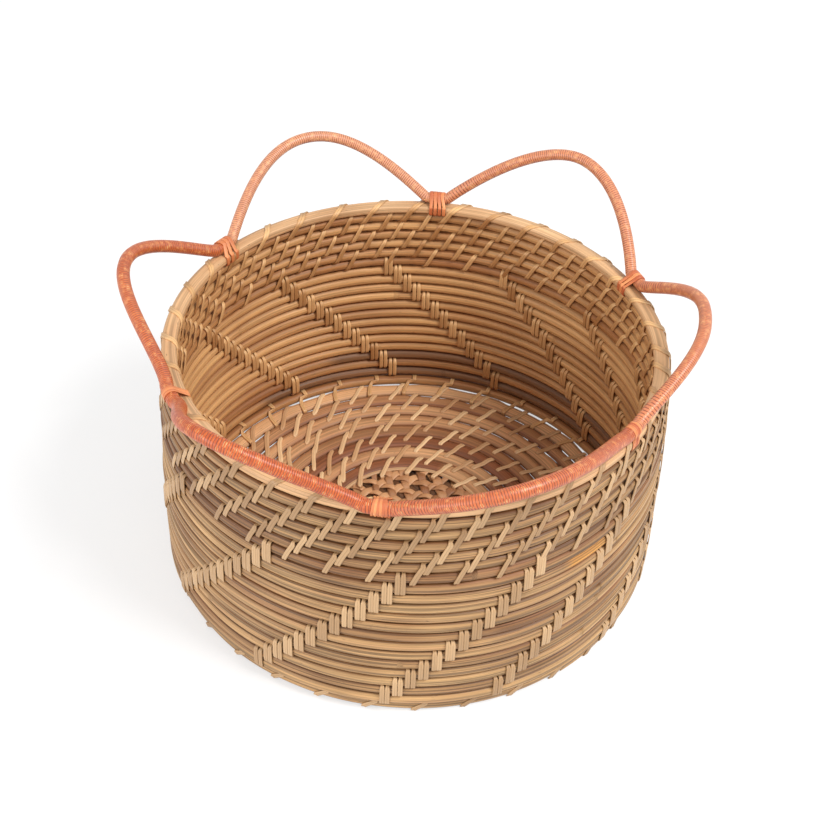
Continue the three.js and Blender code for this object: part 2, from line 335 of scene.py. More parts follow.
# Flat split strip: fine fibres and a groove
stripLook = dict(
    fibre=(55.0, 26.0), fibreShare=0.8, fibreHeight=0.5,
    shadeRange=(0.25, 1.45), middle=3 / 7, grooveRange=(0.0, 0.06, 1.0, 0.0),
    grooveColor=srgb(120, 84, 50), roughRange=(0.3, 0.7, 0.40, 0.58),
)


def makeStripGrain():
    look = stripLook
    tree, given, along, across = newGroup("stripGrain", Light="Color", Dark="Color", Groove="Float")
    fibre = fibres(tree, (along, across), look["fibre"])
    middle = calc(tree, "ABSOLUTE", calc(tree, "SUBTRACT", across, look["middle"]))
    groove = calc(tree, "MULTIPLY", spread(tree, middle, *look["grooveRange"]), given["Groove"])
    shade = calc(tree, "MULTIPLY_ADD", fibre, look["fibreShare"], attribute(tree, "tone"))
    color = blend(tree, spread(tree, shade, *look["shadeRange"]), given["Dark"], given["Light"])
    color = blend(tree, groove, color, look["grooveColor"])
    height = calc(tree, "SUBTRACT", calc(tree, "MULTIPLY", fibre, look["fibreHeight"]), groove)
    return endGroup(tree, color, spread(tree, fibre, *look["roughRange"]), height)


# Close wraps of dyed strip, each with its own tone; the petal's underside gets a painted shade
wrapLook = dict(
    fibre=(3.0, 16.0, 23.0), fibreHeight=0.2, patchScale=55.0,
    patchShare=0.3, bandShare=0.28, shadeRange=(0.36, 1.22), paleTint=srgb(252, 204, 164),
    underShadeRange=(0.55, 0.9, 0.0, 0.55), seamRange=(0.28, 0.46), seamShare=0.9,
    darkSeam=srgb(112, 36, 16), paleSeam=srgb(248, 204, 136), paleArcs=(5.7, 6.0),
    paleRange=(0.56, 0.66), roughRange=(0.55, 1.25, 0.5, 0.34),
)


def makeWrapBands():
    look = wrapLook
    tree, given, along, around = newGroup("wrapBands", Light="Color", Deep="Color", Under="Color")
    phase = calc(tree, "SUBTRACT", along, around)
    wrap = calc(tree, "FLOOR", phase)
    inWrap = calc(tree, "SUBTRACT", phase, wrap)
    edge = calc(tree, "ABSOLUTE", calc(tree, "SUBTRACT", inWrap, 0.5))
    seam = spread(tree, edge, *look["seamRange"])
    chance = addNode(tree, "TexWhiteNoise", {"W": wrap}, noise_dimensions="1D").outputs["Value"]
    fibre = fibres(tree, (phase, around, attribute(tree, "tone")), look["fibre"])
    patch = patches(tree, look["patchScale"])
    share = calc(tree, "MULTIPLY_ADD", chance, look["bandShare"], fibre)
    share = calc(tree, "MULTIPLY_ADD", patch, look["patchShare"], share)
    color = blend(tree, spread(tree, share, *look["shadeRange"]), given["Deep"], given["Light"])
    # petals with a pale share turn paler
    color = blend(tree, attribute(tree, "grey"), color, look["paleTint"])
    # painted shade: the Under colour where the petal faces down
    underShade = spread(tree, attribute(tree, "inner"), *look["underShadeRange"])
    color = blend(tree, underShade, color, given["Under"])
    arcs = fibres(tree, (wrap, around), look["paleArcs"], 1.0, 0.5)
    pale = spread(tree, arcs, *look["paleRange"])
    seamColor = blend(tree, pale, look["darkSeam"], look["paleSeam"])
    color = blend(tree, calc(tree, "MULTIPLY", seam, look["seamShare"]), color, seamColor)
    height = calc(tree, "SUBTRACT", calc(tree, "MULTIPLY", fibre, look["fibreHeight"]), seam)
    return endGroup(tree, color, spread(tree, share, *look["roughRange"]), height)


caneGrain = makeCaneGrain()
stripGrain = makeStripGrain()
wrapBands = makeWrapBands()


def newMaterial(name, group, bumpDepth, coat=(), **values):
    material = bpy.data.materials.new(name)
    material.use_nodes = True
    tree = material.node_tree
    shader = tree.nodes["Principled BSDF"]
    grain = addNode(tree, "Group", node_tree=group)
    for label, value in values.items():
        grain.inputs[label].default_value = value
    inputs = {"Height": grain.outputs["Height"], "Distance": bumpDepth, "Strength": 0.8}
    normal = addNode(tree, "Bump", inputs).outputs[0]
    looks = [normal, grain.outputs["Color"], grain.outputs["Roughness"], *coat]
    for label, value in zip(shaderInputs, looks):
        give(tree, shader.inputs[label], value)
    return material, tree, grain.inputs


# Wall canes are grey-beige outside and golden inside
wallLook = dict(
    # outside and inside
    Light=(srgb(211, 169, 115), srgb(242, 190, 126)), Dark=(srgb(120, 76, 38), srgb(164, 106, 58)),
    rod=(srgb(134, 106, 78), srgb(116, 82, 58)), lineRange=(0.0, 1.0, 0.95, 0.4),
    blush=srgb(172, 120, 82), stain=srgb(212, 146, 56), innerRange=(0.35, 0.65), rodShare=0.8,
    bumpDepth=0.35 * mm,
)


def wallMaterial():
    look = wallLook
    material, tree, given = newMaterial(
        "wallCane", caneGrain, look["bumpDepth"], Blush=look["blush"], Ridges=1.0)
    inner = spread(tree, attribute(tree, "inner"), *look["innerRange"])
    give(tree, given["Lines"], spread(tree, inner, *look["lineRange"]))
    grey = attribute(tree, "grey")  # below zero on the stain
    stained = calc(tree, "MULTIPLY", grey, -1.0)
    rodShare = calc(tree, "MULTIPLY", grey, look["rodShare"])
    rod = blend(tree, inner, *look["rod"])
    for label in ("Light", "Dark"):
        color = blend(tree, rodShare, blend(tree, inner, *look[label]), rod)
        give(tree, given[label], blend(tree, stained, color, look["stain"]))
    return material


def plainCane(name, light, dark, blush):
    material, tree, given = newMaterial(
        name, caneGrain, 0.3 * mm, Light=light, Dark=dark, Blush=blush, Ridges=0.7, Lines=0.5)
    plum, darkRod = attribute(tree, "grey"), srgb(146, 90, 58)
    give(tree, given["Light"], blend(tree, plum, light, darkRod))
    give(tree, given["Dark"], blend(tree, plum, dark, darkRod))
    return material


def stripMaterial(name, light, dark, groove, innerLight=None, innerDark=None):
    material, tree, given = newMaterial(
        name, stripGrain, 0.15 * mm, (0.15, 0.35), Light=light, Dark=dark, Groove=groove)
    if innerLight:
        inner = attribute(tree, "inner")
        give(tree, given["Light"], blend(tree, inner, light, innerLight))
        give(tree, given["Dark"], blend(tree, inner, dark, innerDark))
    return material


# Each finish is a material and its slot
wallFinish = wallMaterial(), "wall_cane"
rimFinish = plainCane(
    "rimCane", srgb(236, 192, 144), srgb(192, 144, 98), srgb(200, 146, 100)), "rim_cane"
floorFinish = plainCane(
    "floorCane", srgb(240, 188, 136), srgb(150, 94, 56), srgb(192, 126, 86)), "floor_cane"
plaitFinish = stripMaterial(
    "plaitedSplint", srgb(232, 178, 128), srgb(144, 90, 54), 0.0), "plaited_splint"
# dark underlay colours: painted shade seen through the holes of the plait
underShadeFinish = stripMaterial(
    "shadedUnderlay", srgb(128, 88, 58), srgb(86, 56, 36), 0.0), "plaited_splint"
laceFinish = stripMaterial(
    "lacingStrip", srgb(214, 176, 130), srgb(146, 108, 68), 0.45, srgb(234, 186, 128),
    srgb(158, 102, 52)), "lacing_strip"
floorLaceFinish = stripMaterial(
    "floorLacing", srgb(252, 214, 164), srgb(184, 130, 84), 0.35), "lacing_strip"
lashFinish = stripMaterial(
    "lashingStrip", srgb(236, 152, 94), srgb(178, 78, 40), 0.2), "lashing_strip"
# the Under colour is painted shade on the petals' undersides
petalFinish = newMaterial(
    "wrappedCane", wrapBands, 0.12 * mm, (0.3, 0.3), Light=srgb(223, 116, 48),
    Deep=srgb(158, 52, 14), Under=srgb(160, 84, 80))[0], "wrapped_cane"
print("finishes ready")

# Where the stitches of the chains and the band go in
chains = dict(
    angles=[7.8, 35.1, 67.1, 96.9, 125.8, 153.1, 181, 208.8, 237.6, 267, 291.5, 322, 342.7],
    stitches=13, step=radians(2.65), pinched=0.3,
    **sizes(width=2.85, spacing=3.0, thickness=0.55, crown=0.12, bulge=0.25, outBow=0.1, inBow=0.2,
            bend=1.7, inBend=3.1),
)
band = dict(
    perTurn=37, drift=radians(2.89), firstCourse=14, phaseAngle=radians(262.4),
    crowd=(radians(265), 0.09, radians(-4)), outSlant=radians(2.2), crossing=radians(1.5),
    rimCrossing=radians(3.0), inSlant=radians(4.0), widthDrift=0.35, rimEase=0.3, pinched=0.3,
    **sizes(width=3.05, thickness=0.5, crown=0.12, bulge=0.25, outBow=0.15, inBow=0.15, bend=1.4,
            rimBend=2.2, inBend=3.1, rimLift=0.05),
)


def chainTurns(angle):
    start = angleTurn(radians(angle))
    if start > 1 - wall["climbShare"] / 2:
        start -= 1
    return [start + 1 + k * (1 + chains["step"] / tau) for k in range(chains["stitches"])]


def crowded(turn):  # stitches lie closer at the front
    centre, share, shift = band["crowd"]
    past = turnAngle(turn) - centre
    return turn + (shift * (1 - cos(past)) / 2 - share * sin(past)) / tau


def bandTurns():
    spacing = (tau + band["drift"]) / band["perTurn"] / tau
    anchor = band["firstCourse"] + angleTurn(band["phaseAngle"])
    first = anchor - floor((anchor - band["firstCourse"]) / spacing) * spacing
    turns = [crowded(first)]
    while turns[-1] < wall["courses"]:
        turns.append(crowded(first + len(turns) * spacing))
    return turns[:-1]


turns, entries = bandTurns(), []
for angle in chains["angles"]:
    for turn in chainTurns(angle):
        entries += [turn - 1, turn + 1]
for turn in turns:
    entries += [turn - 1, turn + 1 + band["outSlant"] / tau]
entries.sort()


# Wall canes
coilLook = dict(
    ringsPerTurn=288, sides=14, outSquare=3.4, inSquare=2.3, pressReach=radians(1.0) / tau,
    girthShare=0.9, grainShift=0.31, rodTurns=1.13, rods=40, rodTone=0.42, driftTone=0.3,
    baseTone=0.33,
    topDim=(0.15, 11, 3),  # how much, from which course up, and over how many
    paintedFootShade=(0.3, 6, 5),  # painted shade inside, low on the wall by the floor: the same, down from there
    # the crevice darkening is painted shade in the gaps between courses
    paintedCreviceShade=0.85, greyRods=[(0.98, 1.42), (2.95, 3.36)], greyEase=0.02, stain=(12.878, 12.914),
    stainEase=0.008, stainShare=0.8, seed=5,
    **sizes(swell=0.38, press=0.55, sway=0.35, wobble=0.12, spliceGap=0.15, thinnest=0.7),
)
rodDice = random.Random(coilLook["seed"])
rodTones = [(rodDice.uniform(0.05, 0.95), rodDice.uniform(-1, 1)) for _ in range(coilLook["rods"])]


def pinch(turn):  # how far strips that go in press a course
    reach = coilLook["pressReach"]
    near = entries[bisect_left(entries, turn - 3 * reach):bisect_left(entries, turn + 3 * reach)]
    return min(sum(exp(-((turn - entry) / reach) ** 2) for entry in near), 1.0)


def rodNumber(turn):
    return int((turn + 1) / coilLook["rodTurns"])


def rodAt(turn):  # the rod's tone, and how far it stands out
    return rodTones[rodNumber(turn)]


def greyAt(turn):
    grey = max(window(turn, *rod, coilLook["greyEase"]) for rod in coilLook["greyRods"])
    return grey - coilLook["stainShare"] * window(turn, *coilLook["stain"], coilLook["stainEase"])


def wallRings(first, last):
    look = coilLook
    section = caneSection(look["sides"], look["outSquare"], look["inSquare"])
    count = round((last - first) * look["ringsPerTurn"])
    girth = 2 * (wall["depth"] + wall["height"]) * look["girthShare"]
    topDim, topStart, topEase = look["topDim"]
    paintedFootShade, footStart, footEase = look["paintedFootShade"]
    rings = []
    for step in range(count + 1):
        turn = mix(first, last, step / count)
        angle = turnAngle(turn)
        low, high = courseBottom(turn), courseTop(turn)
        full = unit((high - low) / wall["height"])
        low, high = low - look["swell"] * full, high + look["swell"] * full
        tone, stand = rodAt(turn)
        sway = look["sway"] * full * (0.5 * stand + ringWander(angle, 3, turn))
        outer = courseRadius(turn) + sway
        wobble = look["wobble"] * wander(turn * 9, 7.3)
        pressTop, pressLow = (look["press"] * pinch(at) * full for at in (turn, turn - 1))
        middle, half = (low + high) / 2 + wobble * full, (high - low) / 2
        shade = look["baseTone"] + look["rodTone"] * tone
        shade += look["driftTone"] * wander(turn * 2.3, 1.7)
        shade -= topDim * smooth((turn - topStart) / topEase)
        # painted shade on the inside of the low courses, where the floor meets the wall
        paintedInsideShade = paintedFootShade * smooth((footStart - turn) / footEase)
        grey, shift = greyAt(turn), rodNumber(turn) * look["grainShift"]
        row = []
        for across, up, share in section:
            height = middle + up * half - (pressTop if up > 0 else pressLow) * up
            place = polar(outer + (across - 1) * wall["depth"] / 2, angle, height)
            # painted shade: darker at the top and bottom of each course, in the gaps, plus the
            # painted foot shade inside
            paintedShade = look["paintedCreviceShade"] * abs(up) ** 6 + paintedInsideShade * (across < 0)
            row.append((place, turn * tau * outer, share * girth + shift, shade - paintedShade,
                        0.5 - 0.5 * across, grey))
        rings.append(row)
    return rings


def thickTurn(start, step):  # where the tapered coil is thick enough to see
    turn = start
    while courseTop(turn) - courseBottom(turn) < coilLook["thinnest"]:
        turn += step
    return turn


canePieces = sorted(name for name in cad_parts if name.startswith("wall_cane_"))
ringTurn = 1 / coilLook["ringsPerTurn"]
coilFirst, coilLast = thickTurn(-1, ringTurn), thickTurn(wall["courses"], -ringTurn)
for index, node in enumerate(canePieces):
    ends = [mix(coilFirst, coilLast, share / len(canePieces)) for share in (index, index + 1)]
    ends[0] += coilLook["spliceGap"] / (tau * wall["footRadius"]) * (index > 0)
    finishPiece(f"wallCane{index + 1}", [wallRings(*ends)], wallFinish, [node])
print("wall canes coiled")

# Rim cane
rimLook = dict(
    rings=300, sides=16, square=3.6, radius=wall["rimRadius"], bottom=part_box("rim_cane")[0][2],
    swayNoise=(2, 4.4), tone=0.5, toneDrift=0.4, sided=1.0,
    **sizes(depth=9, swell=0.3, sway=0.3, girth=26),
)
rimLook["inset"] = rimLook["depth"] / 2
rimLook["half"] = (rimLook["depth"] / 2, (wall["top"] - rimLook["bottom"] + rimLook["swell"]) / 2)
rimLook["middle"] = wall["top"] - rimLook["half"][1]
finishPiece("rimCane", [hoopRings(rimLook)], rimFinish, ["rim_cane"])

# Floor coil
ground = dict(
    turns=8,
    ends=(0.7, 0.3),  # how far into the climb the cane starts and stops
    ringsPerTurn=150, sides=14, square=2.1,
    swell=(1.1 * mm, 0.85 * mm),  # of the inner rows and of the outer ones
    outSwell=(1.3 * mm, 0.45 * mm),  # of an outer row's outside, closed and at a slit
    edgeSwell=(2.4 * mm, 1.0 * mm),  # the same of the outermost row
    # the crevice darkening is painted shade in the gaps between rows
    grainRadius=0.1, baseTone=0.7, driftTone=0.75, rodTone=0.15, paintedCreviceShade=0.75,
    plum=[(0.2, 1.15), (1.8, 2.9)], plumEase=0.03,
    **sizes(width=8.8, gap=2.6, low=0.55, high=4.7, swellDrift=0.3, sway=0.35, lift=0.15,
            thinnest=0.3, girth=23),
)
ground["pitch"] = ground["width"] + ground["gap"]
ground["outer"] = courseRadius(0) - wall["depth"] - ground["gap"]
ground["inner"] = ground["outer"] - (ground["turns"] * ground["pitch"] - ground["gap"])


def floorRings():
    look = ground
    section = caneSection(look["sides"], look["square"], look["square"])
    first = -wall["climbShare"] * look["ends"][0]
    last = look["turns"] - wall["climbShare"] * look["ends"][1]
    count = round((last - first) * look["ringsPerTurn"])
    rings = []
    for step in range(count + 1):
        turn = mix(first, last, step / count)
        angle = turnAngle(turn)
        level = max(climb(turn), 0)
        inner = look["inner"] + look["pitch"] * level
        outer = look["inner"] + look["pitch"] * min(climb(turn + 1), look["turns"]) - look["gap"]
        full = unit((outer - inner) / look["width"])
        swell = mix(*look["swell"], smooth((level - 3.5) / 2)) * full
        swell += look["swellDrift"] * full * ringWander(angle, 4, level * 0.7)
        slit = smooth(0.5 + 4 * ringWander(angle, 9, round(level) * 3.1))
        outSwell = mix(swell, mix(*look["outSwell"], slit) * full, smooth((level - 4.5) / 0.5))
        outSwell = mix(outSwell, mix(*look["edgeSwell"], slit) * full, smooth((level - 6.2) / 0.5))
        inner, outer = inner - swell, outer + outSwell
        sway = look["sway"] * full * ringWander(angle, 3, turn * 1.3)
        middle, half = (inner + outer) / 2 + sway, max((outer - inner) / 2, look["thinnest"])
        tone = look["baseTone"] + look["driftTone"] * wander(turn * 1.7, 3.1)
        tone += look["rodTone"] * rodAt(turn + 9)[1]
        plum = max(window(turn, *rod, look["plumEase"]) for rod in look["plum"])
        low, high = look["low"], look["high"] + look["lift"] * wander(turn * 5, 9.9)
        rings.append(caneRing(
            section, angle, (middle, (low + high) / 2), (half, (high - low) / 2),
            turn * tau * look["grainRadius"], look["girth"], tone, plum, look["paintedCreviceShade"]))
    return rings


finishPiece("floorCoil", [floorRings()], floorFinish, ["floor_coil"])
print("rim and floor coiled")


# A strip follows stations (angle, radius, height, outward radius, outward height, inner share)
strip = dict(
    # across and out, the first point again
    profile=[
        (-0.5, 0.0), (-0.5, 1.0), (-0.24, 1.0), (0.0, 1.0), (0.24, 1.0), (0.5, 1.0), (0.5, 0.0),
        (-0.5, 0.0)],
    innerNarrow=0.08,
    middleCrown=(0.3, 1.6),  # grooved outside the basket, domed inside
    # painted light on the inside of strips where they face up
    paintedTopLight=0.5, toneShift=3,
)


def stripRings(stations, look, tone, wider=0.0, sideways=0.0):
    places, facings = [], []
    for angle, radius, height, outRadius, outHeight, share in stations:
        places.append(polar(radius, angle + sideways / radius, height))
        facings.append(polar(outRadius, angle, outHeight).normalized())
    last, hoop = len(places) - 1, stations[0] == stations[-1]
    rings, along = [], strip["toneShift"] * tone
    for index, (place, facing) in enumerate(zip(places, facings)):
        before = places[(index - 1) % last] if hoop else places[max(index - 1, 0)]
        after = places[(index + 1) % last] if hoop else places[min(index + 1, last)]
        if index:
            along += (place - places[index - 1]).length
        side = (after - before).cross(facing).normalized()
        inner = stations[index][5]
        wide = (look["width"] + wider) * (1 - strip["innerNarrow"] * inner)
        wide *= 1 - look.get("pinched", 0.0) * facing.z ** 2
        crown = look["crown"]
        crowns = {2: crown, 3: crown * mix(*strip["middleCrown"], inner), 4: crown}
        # painted light: inside the basket a strip is lighter where it faces up
        lit = tone + strip["paintedTopLight"] * facing.z * inner
        row = []
        for number, (across, out) in enumerate(strip["profile"]):
            lift = out * look["thickness"] + crowns.get(number, 0.0)
            at = place + side * across * wide + facing * lift
            row.append((at, along, number / 7, lit, inner, 0.0))
        rings.append(row)
    return rings


def arc(centre, radius, fromDegrees, toDegrees, angles, share, steps=3):
    # stations round one bend in the upright plane
    made = []
    for step in range(steps + 1):
        part = step / steps
        bend = radians(mix(fromDegrees, toDegrees, part))
        made.append((
            mix(*angles, part), centre[0] + radius * cos(bend), centre[1] + radius * sin(bend),
            cos(bend), sin(bend), share))
    return made


def quarter(number, reach, edge, bend, angles, share=None, steps=3):
    # bends inside the corner at reach and edge: 0 out and low, 1 out and high, 2 in and high,
    # 3 in and low, 4 as 0
    if not isinstance(angles, tuple):
        angles = (angles, angles)
    share = float(number > 1) if share is None else share
    inward, rise = ((-1, 1), (-1, -1), (1, -1), (1, 1), (-1, 1))[number]
    centre = (reach + bend * inward, edge + bend * rise)
    return arc(centre, bend, 90 * number - 90, 90 * number, angles, share, steps)


def overCourses(look, outs, ins, heights, angles, topBend, topSteps=3):
    # up outside, over the top and down inside
    (outLow, outHigh), (inLow, inHigh), (low, high, nextLow) = outs, ins, heights
    bend, inBend, middle = look["bend"], look["inBend"], (low + high) / 2
    return [
        *quarter(0, outLow, low, bend, angles[0]),
        (angles[1], (outLow + outHigh) / 2 + look["outBow"], middle, 1.0, 0.0, 0.0),
        *quarter(1, outHigh, high, topBend, angles[2], steps=topSteps),
        *quarter(2, inHigh, high, inBend, angles[3], steps=4),
        (angles[4], (inLow + inHigh) / 2 - look["inBow"], middle, -1.0, 0.0, 1.0),
        *quarter(3, inLow, nextLow, inBend, angles[5], steps=4),
    ]


def chainLoop(turn):
    # closed, round two courses
    angle, upper = turnAngle(turn), turn + 1
    low = courseBottom(turn) - wall["gap"] / 2 + chains["thickness"] / 2
    high = courseTop(upper) + wall["gap"] / 2 - chains["thickness"] / 2
    outs = [courseRadius(place) + chains["bulge"] for place in (turn, upper)]
    ins = [radius - wall["depth"] - 2 * chains["bulge"] for radius in outs]
    stations = overCourses(chains, outs, ins, (low, high, low), [angle] * 6, chains["bend"])
    return stations + stations[:1]


dice = random.Random(11)


def either(reach):
    return dice.uniform(-reach, reach)


for chain, chainAngle in enumerate(chains["angles"], 1):
    strands = []
    for turn in chainTurns(chainAngle):
        loop = chainLoop(turn)
        tone = dice.uniform(0.15, 0.85)
        for side in (-1, 1):
            offset = side * chains["spacing"] / 2 + either(0.15) * mm
            strands.append(stripRings(loop, chains, tone + either(0.15), sideways=offset))
    finishPiece(f"chainLacing{chain:02d}", strands, laceFinish, [f"wall_lacing_{chain:02d}"])
print("chains laced")


def stitchFoot(turn):  # a stitch's lower course and its height
    lower = turn if courseTop(turn) - courseBottom(turn) > wall["height"] / 2 else turn - 1
    return lower, courseBottom(lower) - wall["gap"] / 2 + band["thickness"] / 2


def bandStations(turn, nextTurn):
    # over two courses or over the rim
    bulge, angle, overRim = band["bulge"], turnAngle(turn), turn >= lastRow
    (lower, low), (_, nextLow) = stitchFoot(turn), stitchFoot(nextTurn)
    upAngle = angle + band["outSlant"]
    overAngle = upAngle + band["rimCrossing" if overRim else "crossing"]
    downAngle = min(overAngle + band["inSlant"], turnAngle(nextTurn))
    outLow = courseRadius(lower) + bulge
    if overRim:
        topBend, ease = band["rimBend"], (overAngle - upAngle) * band["rimEase"]
        high, outHigh = wall["top"] + band["rimLift"], wall["rimRadius"] + bulge
        depth = rimLook["depth"] + 2 * bulge
    else:
        topBend, ease = band["bend"], 0.0
        upper = turn + 1 + band["outSlant"] / tau
        high = courseTop(upper) + wall["gap"] / 2 - band["thickness"] / 2
        outHigh, depth = courseRadius(upper) + bulge, wall["depth"] + 2 * bulge
    outs, ins = (outLow, outHigh), (outLow - wall["depth"] - 2 * bulge, outHigh - depth)
    angles = [
        (angle, angle + radians(0.2)), (angle + upAngle) / 2,
        (upAngle - 0.5 * ease, upAngle + ease),
        (overAngle - ease, mix(overAngle, downAngle, 0.3)), (overAngle + downAngle) / 2,
        (mix(overAngle, downAngle, 0.7), downAngle)]
    return overCourses(band, outs, ins, (low, high, nextLow), angles, topBend, 4)


nextOf = dict(zip(turns, turns[1:] + [2 * turns[-1] - turns[-2]]))
lastRow = wall["courses"] - 1
scallopCount = 6
firstLashing = radians(26.5)


def bandPiece(name, rowTurns, look, nodes=()):
    strands = []
    for turn in rowTurns:
        wider = either(look["widthDrift"]) * mm
        stations = bandStations(turn, nextOf[turn])
        strands.append(stripRings(stations, look, dice.uniform(0.0, 0.8), wider))
    finishPiece(name, strands, laceFinish, nodes)


def rimShare(turn):  # which stretch between two lashings a stitch is in
    return int(((turnAngle(turn) - firstLashing) % tau) / (tau / scallopCount))


for row, first in enumerate(range(band["firstCourse"], lastRow), 1):
    bandPiece(f"bandLacing{row}", [turn for turn in turns if first <= turn < first + 1], band)
rimBand = dict(band, width=3.6 * mm, pinched=0.0)
for index in range(scallopCount):
    stretch = [turn for turn in turns if turn >= lastRow and rimShare(turn) == index]
    bandPiece(f"rimLacing{index + 1}", stretch, rimBand, [f"rim_lacing_{index + 1}"])
print("band laced")

# Stitches that tie the foot course to the floor
base = dict(
    band, pinched=0.0, count=33, firstAngle=radians(262.4), slant=radians(2.6),
    inSlant=radians(3.2), endSlant=radians(1.0),
    climbStart=0.83, climbBack=0.17,  # where the course above climbs, the height before it counts
    **sizes(bulge=0.3, bend=1.0, low=0.74, lift=0.1),
)


def baseStations(angle):
    bend, low, bulge = base["bend"], base["low"], base["bulge"]
    up = angle + base["slant"]
    down = up + base["inSlant"]
    outer = courseRadius(0) + bulge
    inner = courseRadius(0) - wall["depth"] - bulge
    share = angleTurn(angle)
    high = courseTop(share if share < base["climbStart"] else share - base["climbBack"])
    high += wall["gap"] / 2 - band["thickness"] / 2
    rowInner = ground["outer"] - ground["width"] - ground["gap"] / 2
    top = ground["high"] + base["lift"]
    return [
        *quarter(0, outer, low, bend, angle),
        *quarter(1, outer, high, bend, up),
        *quarter(2, inner, high, bend, up),
        (mix(up, down, 0.5), inner - 0.1 * mm, top + 1.6 * mm, -0.9, 0.4, 1.0),
        (mix(up, down, 0.65), inner - 2.4 * mm, top + 0.15 * mm, -0.2, 1.0, 1.0),
        (mix(up, down, 0.85), (inner + rowInner) / 2, top + 0.05 * mm, 0.0, 1.0, 1.0),
        *quarter(2, rowInner, top, bend, down),
        *quarter(3, rowInner, low, bend, down),
        (down + base["endSlant"], ground["outer"], low, 0.0, -1.0, 0.0),
    ]


angles = [base["firstAngle"] + stitch * tau / base["count"] for stitch in range(base["count"])]
strands = [stripRings(baseStations(angle), base, dice.uniform(0.1, 0.9)) for angle in angles]
finishPiece("baseLacing", strands, laceFinish)

# Floor stitches, each over two rows
floorLace = dict(
    band, width=band["width"] * 0.85, pinched=-0.25,
    # count and angle of one stitch, from the outside in
    rows=[(29, 93.1), (28, 102.5), (26, 99.2), (23, 111.4), (23, 103.1), (22, 98.1), (20, 109.6),
          (19, 102.5)],
    slant=(24, 25, 168),  # mean lean, its swing, and where the stitches lean most
    sag=[(0.24, 0.1), (0.5, -0.7), (0.76, 0.1)],  # share of the way in, and height in mm
    **sizes(bend=0.9, topLift=0.05, lowLift=0.2),
)


def floorSlant(angle):
    mean, swing, most = floorLace["slant"]
    return radians(mean + swing * cos(angle - radians(most)))


def floorStations(row, angle, nextAngle):
    bend = floorLace["bend"]
    rowOuter = ground["outer"] - row * ground["pitch"]
    far = rowOuter + ground["gap"] / 2 - band["thickness"]
    near = rowOuter - 1.5 * ground["pitch"]
    top, low = ground["high"] + floorLace["topLift"], ground["low"] + floorLace["lowLift"]
    inAngle = angle + (far - near) * tan(floorSlant(angle)) / ((far + near) / 2)
    return [
        *quarter(1, far, top, bend, angle, 1.0),
        *((mix(angle, inAngle, share), mix(far, near, share), top + lift * mm, 0.0, 1.0, 1.0)
          for share, lift in floorLace["sag"]),
        *quarter(2, near, top, bend, inAngle),
        *quarter(3, near, low, bend, inAngle),
        *quarter(4, far, low, bend, nextAngle),
    ]


strands = []
for row, (count, anchor) in enumerate(floorLace["rows"]):
    for stitch in range(count):
        angle = radians(anchor) + stitch * tau / count + radians(either(0.6))
        wider = dice.uniform(-0.1, 0.5) * mm
        stations = floorStations(row, angle, angle + tau / count)
        strands.append(stripRings(stations, floorLace, dice.uniform(-0.3, 0.6), wider))
finishPiece("floorLacing", strands, floorLaceFinish)
print("floor laced")

# Plaited centre: three sets of splints, each over the next one
plait = dict(
    radius=ground["inner"] - 1.2 * mm, widthDrift=(0.75, 1.25), placeDrift=0.9, skew=0.05,
    turn=radians(12), stationsPerWave=10,
    profile=[
        (-0.5, -0.5), (-0.5, 0.3), (-0.3, 0.5), (0.0, 0.6), (0.3, 0.5), (0.5, 0.3), (0.5, -0.5),
        (-0.5, -0.5)],
    **sizes(edge=2, pitch=11.4, width=5.0, thickness=0.9, wave=1.0, middle=2.1),
)
underlay = dict(
    turn=plait["turn"] + radians(30), radius=ground["inner"] + 0.8 * mm, widthShare=0.95,
    baseTone=0.5, driftTone=0.6,
    **sizes(pitch=4.4, height=0.34, thickness=0.5),
)


def splintAxes(turn):  # across and along the splints of one set
    return Vector((cos(turn), sin(turn), 0)), Vector((-sin(turn), cos(turn), 0))


def splintRow(centre, normal, facing, width, thickness, along, tone):
    return [
        (centre + normal * across * width + facing * out * thickness, along, number / 7, tone,
         0.0, 0.0)
        for number, (across, out) in enumerate(plait["profile"])
    ]


def splints(direction):
    made = []
    normal, run = splintAxes(plait["turn"] + direction * tau / 3)
    wave = plait["pitch"] / cos(pi / 6)
    reach = int(plait["radius"] / plait["pitch"]) + 1
    for line in range(-reach, reach):
        offset = (line + 0.5) * plait["pitch"] + either(plait["placeDrift"]) * mm
        width = plait["width"] * dice.uniform(*plait["widthDrift"])
        skew = either(plait["skew"])
        if abs(offset) > plait["radius"] - plait["edge"]:
            continue
        half = sqrt(plait["radius"] ** 2 - offset ** 2)
        over = wave * (line / 2 + 0.75)
        count = max(4, round(2 * half / wave * plait["stationsPerWave"]))
        tone = dice.uniform(0.0, 1.0)
        rings = []
        for step in range(count + 1):
            along = mix(-half, half, step / count)
            height = plait["middle"] + plait["wave"] * cos(tau * (along - over) / wave)
            slope = -plait["wave"] * tau / wave * sin(tau * (along - over) / wave)
            facing = (upward - run * slope).normalized()
            centre = normal * (offset + skew * along) + run * along + Vector((0, 0, height))
            rings.append(splintRow(centre, normal, facing, width, plait["thickness"], along, tone))
        made.append(rings)
    return made


